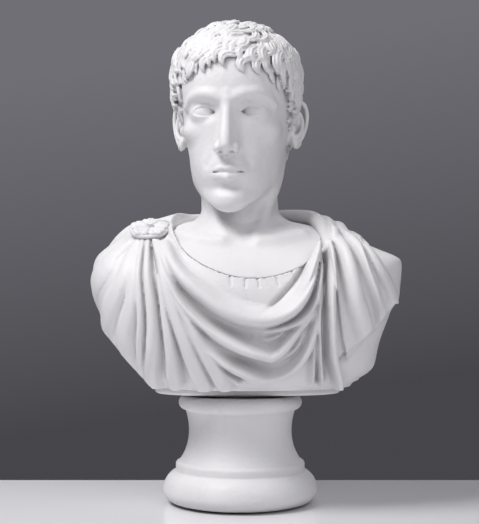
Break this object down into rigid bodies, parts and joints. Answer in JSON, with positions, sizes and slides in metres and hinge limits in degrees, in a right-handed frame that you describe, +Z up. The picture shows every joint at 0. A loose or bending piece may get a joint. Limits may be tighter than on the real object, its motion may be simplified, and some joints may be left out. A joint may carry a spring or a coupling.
{
  "type": "marble bust",
  "caption": "Life-size marble portrait bust in a pinned mantle, its head and neck let into the draped torso, on a turned round socle that it revolves on.",
  "frame": {"origin": "centre of the felt face that the socle stands on, on the socle's turning axis", "axes": "+Z up along the socle's axis, -Y the way the torso faces, +X to the left shoulder of the sitter, which is the viewer's right"},
  "size_m": [0.41, 0.2326, 0.6407],
  "materials": {
    "marble": "matte",
    "felt": "matte",
    "nylon": "satin",
    "steel": "satin"
  },
  "bodies": {
    "socle": {"socle": "marble", "foot_felt": "felt", "rod_sleeve": "nylon", "seat_washer": "nylon", "thrust_washer": "nylon"},
    "bust": {"bust_tablet": "marble", "draped_torso": "marble", "head_and_neck": "marble", "neck_dowel": "steel", "shoulder_rosette": "marble", "rosette_pin": "steel", "rod_anchor": "steel", "centre_rod": "steel", "plate_washer": "steel", "spring_washer": "steel", "lock_nut": "steel"}
  },
  "joints": [
    {"name": "bust_swivel", "type": "hinge", "parent": "socle", "child": "bust", "pos_m": [0, 0, 0.145], "axis": [0, 0, 1], "continuous": true}
  ]
}
